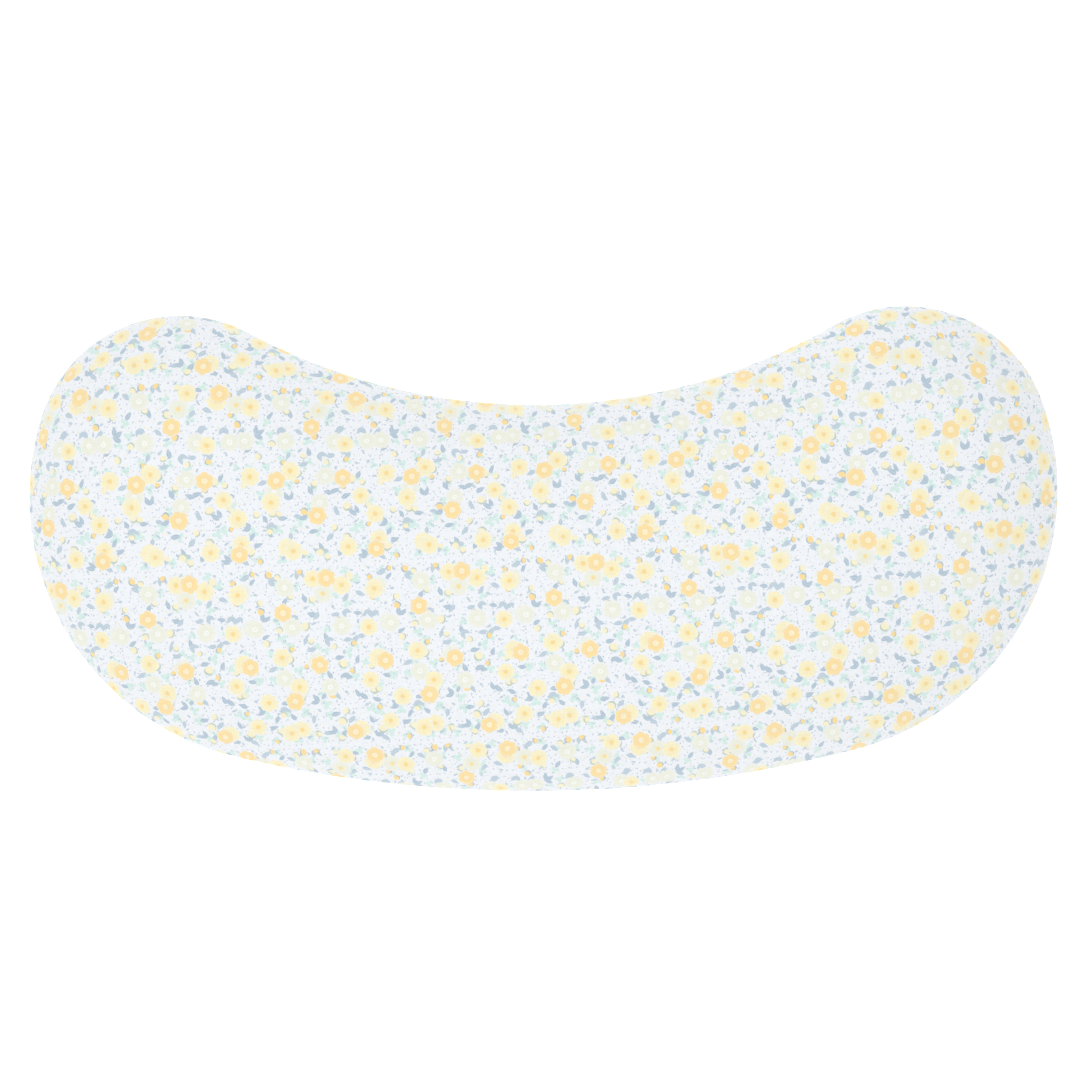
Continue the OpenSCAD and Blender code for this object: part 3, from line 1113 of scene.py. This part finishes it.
def slot_loop():
    """The slot in the underside that the zip lies in, with points where the cover's cross seam meets it."""
    x, y = SLOT_X, SLOT_HALF
    corners = [(x, 0), (x, y), (-x, y), (-x, 0), (-x, -y), (x, -y), (x, 0)]
    sides = [straight(a, b, STEP)[:-1] for a, b in zip(corners, corners[1:])]
    return np.concatenate(sides) + [0, ZIP_Y]


def zip_side_steps():
    """The turned-in edge along the zip: a soft lip that leans over the tape on its way up to it."""

    def move(toward, height):
        def step(co, normal):
            end = SLOT_X - SLOT_HALF
            target = Vector((min(max(co.x, -end), end), ZIP_Y, co.z))
            moved = co + (target - co).normalized() * toward
            moved.z = height
            return moved

        return step

    return [move(0.0003, 0.0007), move(0.0006, 0.0025), move(0, 0.0050), move(-0.0008, TAPE_Z - 0.0003)]


def cross_seam_steps():
    """The seam past each end of the zip: the edge sinks in and turns under."""
    return [
        lambda co, normal: co - normal * 0.0005 - Vector((0, co.y - ZIP_Y, 0)) * 0.7,
        lambda co, normal: co - normal * 0.0016,
    ]


def in_slot(co):
    return abs(co.x) < SLOT_X + 1e-4 and abs(co.y - ZIP_Y) < SLOT_HALF + 1e-4


def on_cross_seam(co):
    return abs(co.x) > SLOT_X - 1e-4 and abs(co.y - ZIP_Y) < 0.0006


def part_of(piece, name, faces, kept, print_shift):
    """A new piece from some of the faces. Its print faces down and is moved along, as a separate cut's is."""
    used, renumbered = np.unique(faces[kept], return_inverse=True)
    part = new_mesh(name, points_of(piece)[used], renumbered.reshape(-1, 3))
    places = read(piece.data.attributes["cloth_at"].data, "vector")[used]
    store_print(part, places * [-1, 1, 1] + [print_shift, print_shift, 0])
    return part


def cover_underside():
    """The two under panels, blown up as one so that they meet, then parted along the zip."""
    belly = Swelling(BELLY_H, SEAM_Z - REST_Z)
    cut, slot = belly.laid_flat(SEAM_LOOP), belly.laid_flat(slot_loop())
    starts = [np.array([math.copysign(SLOT_X, end[0]), ZIP_Y]) for end in (RIGHT_END, LEFT_END)]
    seams = [belly.laid_flat(straight(start, end, STEP)) for start, end in zip(starts, (RIGHT_END, LEFT_END))]
    whole, share, faces, areas = swollen_panel("underside", belly, -1, [cut, slot], seams)
    lay_print(whole, faces)
    start = points_of(whole)
    settle(whole, share, (share > EDGE_SHARE) | (share < BELLY_REST_SHARE))
    points = points_of(whole)
    points[:, 2] = np.maximum(points[:, 2], REST_Z)
    set_points(whole, points)
    waist_side = start[faces].mean(1)[:, 1] > ZIP_Y
    for part, kept, side in (("front", ~waist_side, -1), ("waist", waist_side, 1)):
        name = f"cover_{part}_under"
        piece = part_of(whole, name, faces, kept, UNDER_PRINT_SHIFT[part])
        points = points_of(piece)
        on_line = (np.abs(points[:, 1] - ZIP_Y) < 0.0015) & (np.abs(points[:, 0]) > SLOT_X + 1e-4)
        seam_points = on_line & np.isin(np.arange(len(points)), boundary_points(piece))
        points[seam_points, 1] = ZIP_Y + side * CROSS_GAP
        set_points(piece, points)
        turn_in_rim(piece, -1)
        fold_edges(piece, in_slot, zip_side_steps())
        fold_edges(piece, on_cross_seam, cross_seam_steps())
        thicken(piece)
        dress(piece, COTTON, "printed_cotton", name + "_panel")
        width, depth = np.ptp(cut[:, 0]), abs(cut[cut[:, 1] * side > 0, 1]).max()
        flat = (width + 2 * ALLOWANCE, depth + 2 * ALLOWANCE)
        area = areas[kept].sum() + (SEAM_LENGTH / 2 + 2 * SLOT_X) * ALLOWANCE
    bpy.data.objects.remove(whole)


def boundary_points(piece):
    """The numbers of the points on the mesh's open edges."""
    work = bmesh.new()
    work.from_mesh(piece.data)
    found = [v.index for v in work.verts if v.is_boundary]
    work.free()
    return found


# ------------------------------------------------------------------ seams inside the cover, and its label


def around_edge(inset, step=0.003):
    """Points round the pillow at the height of its seam, inset from its edge."""
    loop = evenly(OUTLINE, step)
    return np.column_stack([drawn_in(loop, inset), SEAM_Z + seam_wobble(loop)])


def seam_allowance(name, node, material, slot):
    """The two raw edges together: a flat ring inside the seam, overlocked along its inner edge."""
    low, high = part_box(node)
    thickness = high[2] - low[2]
    outer = cover_high[0] - high[0]
    inner = outer + ALLOWANCE_W
    top = [0, 0, thickness / 2]
    ring = ribbon(name, around_edge(outer) + top, around_edge(inner) + top, 3, closed=True)
    thicken(ring, thickness)
    dress(ring, material, slot, node)
    # A quarter of the overlocking's stitch, and how far in it pierces
    quarter, bite = 0.0007, 0.0035
    edge, pierced = around_edge(inner, quarter), around_edge(inner - bite, quarter)
    turn = np.arange(len(edge)) * (math.pi / 2)
    share = (0.5 + 0.5 * np.cos(turn))[:, None]
    path = edge * (1 - share) + pierced * share
    path[:, 2] += np.sin(turn) * (thickness / 2 + THREAD_R)
    thread = tube(name + "_overlock", [path], THREAD_R, closed=True, sides=1)
    dress(thread, THREAD, slot)
    return [ring, thread]


def under_seam_allowances():
    """The cross seams' raw edges, pressed open past each end of the zip."""
    low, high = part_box("cover_under_seams")
    length = 0.050
    inner_x, outer_x = high[0] - length, high[0]
    strips = []
    for end in (-1, 1):
        for side in (-1, 1):
            near = straight([inner_x * end, ZIP_Y, low[2]], [outer_x * end, ZIP_Y, low[2]])
            near = near + [0, side * CLOTH_T, CLOTH_T]
            strip = ribbon("strip", near, near + [0, side * (high[1] - ZIP_Y - CLOTH_T), 0], 4)
            points = points_of(strip)
            lifted = np.abs(points[:, 1] - ZIP_Y) / (high[1] - ZIP_Y)
            points[:, 2] += 0.0003 * lifted * (1 + smooth_noise(points, 0.009, 6))
            set_points(strip, points)
            thicken(strip)
            strips.append(strip)
    piece = join(strips, "cover_under_seam_allowances")
    return dress(piece, RAW_EDGE_COTTON, "printed_cotton", "cover_under_seams")


def care_label():
    """Blank ribbon folded in two and caught in the zip's seam, lying on the cover's inside."""
    low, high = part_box("care_label")
    radius = (high[2] - low[2] - LABEL_T) / 2
    length = high[1] - low[1] - radius
    mid_z = (low[2] + high[2]) / 2
    out = straight([high[1], mid_z - radius], [high[1] - length, mid_z - radius])
    fold = circle([high[1] - length, mid_z], radius, 1.5 * math.pi, 0.5 * math.pi)[::6]
    back = straight([high[1] - length, mid_z + radius], [high[1], mid_z + radius])
    profile = np.concatenate([out[:-1], fold, back[1:]])
    near = np.column_stack([np.full(len(profile), low[0]), profile])
    piece = ribbon("care_label_ribbon", near, near + [high[0] - low[0], 0, 0], 10)
    points = points_of(piece)
    points[:, 2] += 0.0002 * smooth_noise(points * [1, 1, 0], 0.02, 7)
    set_points(piece, points)
    thicken(piece, LABEL_T)
    dress(piece, RIBBON, "label_ribbon", "care_label")


# ------------------------------------------------------------------ zip


def zip_tapes():
    for part in ("front", "waist"):
        low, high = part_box("zip_tape_" + part)
        length, width, thickness = (b - a for a, b in zip(low, high))
        near = straight([low[0], low[1], high[2]], [high[0], low[1], high[2]])
        piece = ribbon("tape_" + part, near, near + [0, width, 0], 8)
        points = points_of(piece)
        points[:, 2] += 0.00012 * smooth_noise(points, 0.014, 5)
        set_points(piece, points)
        thicken(piece, thickness)
        dress(piece, TAPE, "zip_tape", "zip_tape_" + part)


def zip_coils():
    """Two spiral wires whose turns lie between each other's, each sewn to its tape."""
    pitch, wire, reach = 0.0015, 0.00028, 0.00168
    low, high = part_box("zip_coil_waist")
    mid_z, half_z = (low[2] + high[2]) / 2, (high[2] - low[2]) / 2 - wire
    mid_y = high[1] - ZIP_Y - reach
    for part, side, shift in (("front", -1, 0), ("waist", 1, pitch / 2)):
        turns = int((high[0] - low[0] - shift - 2 * wire) / pitch)
        turn = np.arange(0, turns, 0.1)
        angle = turn * 2 * math.pi
        x = low[0] + wire + shift + turn * pitch
        y = ZIP_Y + side * (mid_y + reach * np.cos(angle))
        path = np.column_stack([x, y, mid_z + half_z * np.sin(angle)])
        piece = tube("coil_" + part, [path], wire)
        dress(piece, NYLON, "zip_coil", "zip_coil_" + part)
        row_y = ZIP_Y + side * (mid_y + reach * 0.6)
        first, last = ((end, row_y, low[2] - THREAD_R) for end in (low[0], high[0]))
        stitches = stitch_paths(first, last, pitch * 0.75, pitch, (0, 0, 0.0016))
        dress(tube(f"coil_stitches_{part}", stitches, THREAD_R * 0.7, sides=1), THREAD, "zip_tape")


def crimp(name, low, high, open_sides):
    """A stop clenched on the tapes' inner edges. open_sides has 1 or -1 for each side that it is open to."""

    def flank(side, edge):
        gap = ZIP_Y + side * TAPE_GAP
        notch = [(edge, TAPE_Z), (gap, TAPE_Z), (gap, TAPE_TOP), (edge, TAPE_TOP)]
        return [(edge, low[2]), *(notch if side in open_sides else []), (edge, high[2])]

    outline = flank(1, high[1]) + flank(-1, low[1])[::-1]
    return on_side(extruded(name, outline, low[0], high[0], 0.00025), 1)


def zip_stops():
    low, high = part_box("zip_bottom_stop")
    dress(crimp("bottom_stop", low, high, (1, -1)), ENAMEL, "zip_metal", "zip_bottom_stop")
    low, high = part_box("zip_top_stops")
    width = high[1] - ZIP_Y - TAPE_GAP + 0.0006
    waist = crimp("waist_stop", [low[0], high[1] - width, low[2]], high, (1,))
    front = crimp("front_stop", low, [high[0], low[1] + width, high[2]], (-1,))
    dress(join([waist, front], "top_stops"), ENAMEL, "zip_metal", "zip_top_stops")


def slider():
    """Two shield-shaped plates joined by flanges and a web, with a lug below for the pull."""
    low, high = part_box("zip_slider")
    mid_x, half_l, half_w = (low[0] + high[0]) / 2, (high[0] - low[0]) / 2, (high[1] - low[1]) / 2
    angle = np.linspace(0, 2 * math.pi, 120, endpoint=False)
    along = np.sign(np.cos(angle)) * np.abs(np.cos(angle)) ** 0.6
    beside = np.sign(np.sin(angle)) * np.abs(np.sin(angle)) ** 0.6 * (0.88 + 0.12 * along)
    shield = np.column_stack([mid_x + half_l * along, ZIP_Y + half_w * beside])
    parts = [
        plate("outer_plate", [shield], OUTER_PLATE_Z, OUTER_PLATE_Z + PLATE_T, 0.0003),
        plate("inner_plate", [shield], high[2] - PLATE_T, high[2], 0.0003),
    ]
    in_plate = OUTER_PLATE_Z + PLATE_T / 2
    web = [mid_x + half_l - 0.002, ZIP_Y] + np.column_stack([0.0015 * along, 0.00035 * beside])
    parts.append(plate("web", [web], in_plate, high[2] - PLATE_T / 2, 0.0001, 0.0003))
    for side in (-1, 1):
        rim = shield[(np.abs(along) < 0.8) & (side * beside > 0)]
        rim = rim[np.argsort(rim[:, 0])]
        outline = np.concatenate([rim, (rim - [0, side * 0.0011])[::-1]])
        outline = outline if side < 0 else outline[::-1]
        parts.append(extruded("flange", outline, in_plate, TAPE_Z - 0.0005, 0.0002))
    root = [[in_plate, mid_x + LUG_R], [in_plate, mid_x - LUG_R]]
    lug = np.concatenate([circle([PIVOT_Z, mid_x], LUG_R, 1.5 * math.pi, 0.5 * math.pi), root])
    loops = [lug, circle([PIVOT_Z, mid_x], PIVOT_R + 0.0001)]
    parts.append(on_side(plate("lug", loops, ZIP_Y - LUG_W / 2, ZIP_Y + LUG_W / 2, 0.0002, 0.0003), -1))
    dress(join(parts, "slider_body"), ENAMEL, "zip_metal", "zip_slider", body="slider")


def pull():
    """The tab: its slotted end straddles the lug on a crossbar, and a few ridges give grip."""
    low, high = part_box("zip_pull")
    pivot_x, half_w = (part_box("zip_slider")[0][0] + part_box("zip_slider")[1][0]) / 2, (high[1] - low[1]) / 2
    end_x = low[0] + half_w
    slot_half, slot_end = LUG_W / 2 + 0.0004, pivot_x - LUG_R - 0.0006
    x = np.linspace(slot_end, end_x, 30)
    narrowed = half_w - 0.0005 * np.sin(np.linspace(0, math.pi, 30)) ** 2
    flank = np.column_stack([x, ZIP_Y + narrowed])
    outline = np.concatenate(
        [
            [[pivot_x + PIVOT_R, ZIP_Y + slot_half], [pivot_x + PIVOT_R, ZIP_Y + half_w]],
            flank,
            circle([end_x, ZIP_Y], half_w, 0.5 * math.pi, 1.5 * math.pi),
            (flank * [1, -1] + [0, 2 * ZIP_Y])[::-1],
            [[pivot_x + PIVOT_R, ZIP_Y - half_w], [pivot_x + PIVOT_R, ZIP_Y - slot_half]],
            [[slot_end, ZIP_Y - slot_half], [slot_end, ZIP_Y + slot_half]],
        ]
    )
    hole_r, grip_r = 0.0012, 0.00018
    loops = [outline, circle([end_x, ZIP_Y], hole_r)]
    parts = [plate("tab", loops, PIVOT_Z - PULL_T / 2, PIVOT_Z + PULL_T / 2, 0.00025, 0.0004)]

    def across(x, half, z):
        return [[x, ZIP_Y - half, z], [x, ZIP_Y + half, z]]

    parts.append(tube("crossbar", [across(pivot_x, half_w - 0.0003, PIVOT_Z)], PIVOT_R, sides=6))
    faces = (PIVOT_Z - PULL_T / 2, PIVOT_Z + PULL_T / 2)
    grips = [across(end_x + 0.0045 + i * 0.0015, half_w * 0.6, z) for z in faces for i in range(5)]
    parts.append(tube("ridges", grips, grip_r))
    dress(join(parts, "pull_tab"), ENAMEL, "zip_metal", "zip_pull", body="pull")


def topstitching():
    """A row of stitches on each side of the zip, and a bar of them across each end."""
    x, y = SLOT_X + STITCH_OFFSET, SLOT_HALF + STITCH_OFFSET
    corners = [(u * x, ZIP_Y + v * y, REST_Z) for u, v in ((1, 1), (-1, 1), (-1, -1), (1, -1), (1, 1))]
    length, pitch, sink = 0.0024, 0.003, (0, 0, 0.0006)
    paths = [stitch_paths(a, b, length, pitch, sink) for a, b in zip(corners, corners[1:])]
    dress(tube("cover_topstitching", sum(paths, []), 0.0002), THREAD, "printed_cotton")


# ------------------------------------------------------------------ inner pillow


def over_zip(points, height, beyond=0.0):
    """How high the zip holds up the inner pillow below each point, easing down beside it."""
    out_x = np.abs(points[:, 0]) - (SLOT_X + 0.004 + beyond)
    out_y = np.abs(points[:, 1] - ZIP_Y) - (HOLLOW_HALF + beyond)
    ease = 0.016
    out = np.clip(np.hypot(np.maximum(out_x, 0), np.maximum(out_y, 0)) / ease, 0, 1)
    return height * (1 - out * out * (3 - 2 * out))


def liner_panels():
    loop = inset_outline(LINER_INSET, 0.005)
    for part, side, height, limit in (
        ("top", 1, CROWN_H - 0.003, 1.0),
        ("bottom", -1, BELLY_H - 0.0035, SEAM_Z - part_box("liner_bottom_panel")[0][2]),
    ):
        swelling = Swelling(height, limit, LINER_INSET)
        cut = swelling.laid_flat(loop)
        piece, share, _, areas = swollen_panel(f"liner_{part}", swelling, side, [cut], step=0.006, gap=0.0006)
        points = points_of(piece)
        points[:, 2] -= side * 0.0006 * (1 + smooth_noise(points, 0.03, 8)) * (share < 0.97)
        if side < 0:
            points[:, 2] = np.maximum(points[:, 2], over_zip(points, HOLLOW_TOP))
        set_points(piece, points)
        turn_in_rim(piece, side, anywhere)
        thicken(piece)
        dress(piece, LINER_COTTON, "liner_cotton", f"liner_{part}_panel")
        area = areas.sum() + strides(loop).sum() * ALLOWANCE


def closing_seam():
    """The turning gap on the waist side: its edges folded in to a flat ridge and whipped shut."""
    low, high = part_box("liner_closing_seam")
    thickness = high[2] - low[2]
    outer, inner = around_edge(LINER_INSET - 0.0016), around_edge(LINER_INSET + 0.0004)
    kept = (outer[:, 0] > low[0]) & (outer[:, 0] < high[0]) & (outer[:, 1] > SPINE_Y - SPINE_R)
    top = [0, 0, thickness / 2]
    ridge = ribbon("closing_ridge", inner[kept][::-1] + top, outer[kept][::-1] + top, 2)
    thicken(ridge, thickness)
    dress(ridge, LINER_COTTON, "liner_cotton", "liner_closing_seam")
    lift = np.array([0, 0, thickness / 2 + THREAD_R])
    out = np.array([0, THREAD_R, 0])
    whips = [[a + lift, b + lift + out, b - lift + out, a - lift] for a, b in zip(inner[kept], outer[kept])]
    dress(tube("closing_stitches", whips[1:-1], THREAD_R, sides=1), THREAD, "liner_cotton")


def filling():
    """Loose fibre in the space that it fills: soft lumps under the casing."""
    loop = inset_outline(FILL_INSET, 0.005)
    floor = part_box("fibre_fill")[0][2]
    halves = []
    for side, height, limit in ((1, CROWN_H - 0.006, 1.0), (-1, BELLY_H - 0.007, SEAM_Z - floor)):
        swelling = Swelling(height, limit, FILL_INSET)
        cut = swelling.laid_flat(loop)
        halves.append(swollen_panel("half", swelling, side, [cut], step=0.007, gap=0)[0])
    piece = join(halves, "fibre")
    work = bmesh.new()
    work.from_mesh(piece.data)
    bmesh.ops.remove_doubles(work, verts=work.verts, dist=0.0008)
    work.to_mesh(piece.data)
    work.free()
    points = points_of(piece)
    lumps = 0.5 + 0.5 * smooth_noise(points, 0.035, 9, octaves=3)
    points[:, 2] = SEAM_Z + (points[:, 2] - SEAM_Z) * (1 - 0.05 * np.clip(lumps, 0, 1))
    hollow = over_zip(points, HOLLOW_TOP + 0.0022, 0.002)
    points[:, 2] = np.where(points[:, 2] < SEAM_Z, np.maximum(points[:, 2], hollow), points[:, 2])
    set_points(piece, points)
    piece.data.shade_smooth()
    dress(piece, FIBRE, "polyester_fibre", "fibre_fill")


# ------------------------------------------------------------------ floor, light and camera


def studio():
    """A white sweep, an even sky and one soft key light overhead."""
    corners = [(-6, -6, 0), (6, -6, 0), (6, 6, 0), (-6, 6, 0)]
    floor = new_mesh("floor", corners, [(0, 1, 2, 3)])
    floor.location.z = -0.0004
    white = (1, 1, 1, 1)
    paint = Paint("white_sweep", 0.9, Emission_Strength=0.6, Emission_Color=white)
    paint.colour([0.78, 0.78, 0.78, 1])
    floor.data.materials.append(paint.material)
    world = bpy.data.worlds.new("sky")
    world.use_nodes = True
    sky = world.node_tree.nodes["Background"]
    sky.inputs["Color"].default_value = white
    sky.inputs["Strength"].default_value = 0.7
    bpy.context.scene.world = world
    key = placed("key", bpy.data.lights.new("key", "AREA"))
    key.location = (-0.20, -0.08, 2.0)
    key.rotation_euler = key.location.to_track_quat("Z", "Y").to_euler()
    key.data.energy = 13.6
    key.data.size = 1.2


def make_camera():
    """Straight above the pillow, turned a little, with the whole width in view."""
    distance = 1.5
    view_width = 0.6934
    camera = placed("camera", bpy.data.cameras.new("camera"))
    camera.location = (-0.0026, 0.0071, SEAM_Z + distance)
    camera.rotation_euler = (0, 0, math.radians(-0.74))
    camera.data.sensor_width = 36
    camera.data.lens = camera.data.sensor_width * distance / view_width
    bpy.context.scene.camera = camera


make_camera()
studio()
filling()
liner_hem = seam_allowance("liner_edge_allowance", "liner_edge_seam", LINER_COTTON, "liner_cotton")
liner_panels()
closing_seam()
cover_hem = seam_allowance("cover_edge_allowance", "cover_edge_seam", RAW_EDGE_COTTON, "printed_cotton")
cross_hem = under_seam_allowances()
topstitching()
cover_top()
cover_underside()
care_label()
zip_tapes()
zip_coils()
zip_stops()
slider()
pull()

bpy.context.scene.view_settings.view_transform = "Standard"
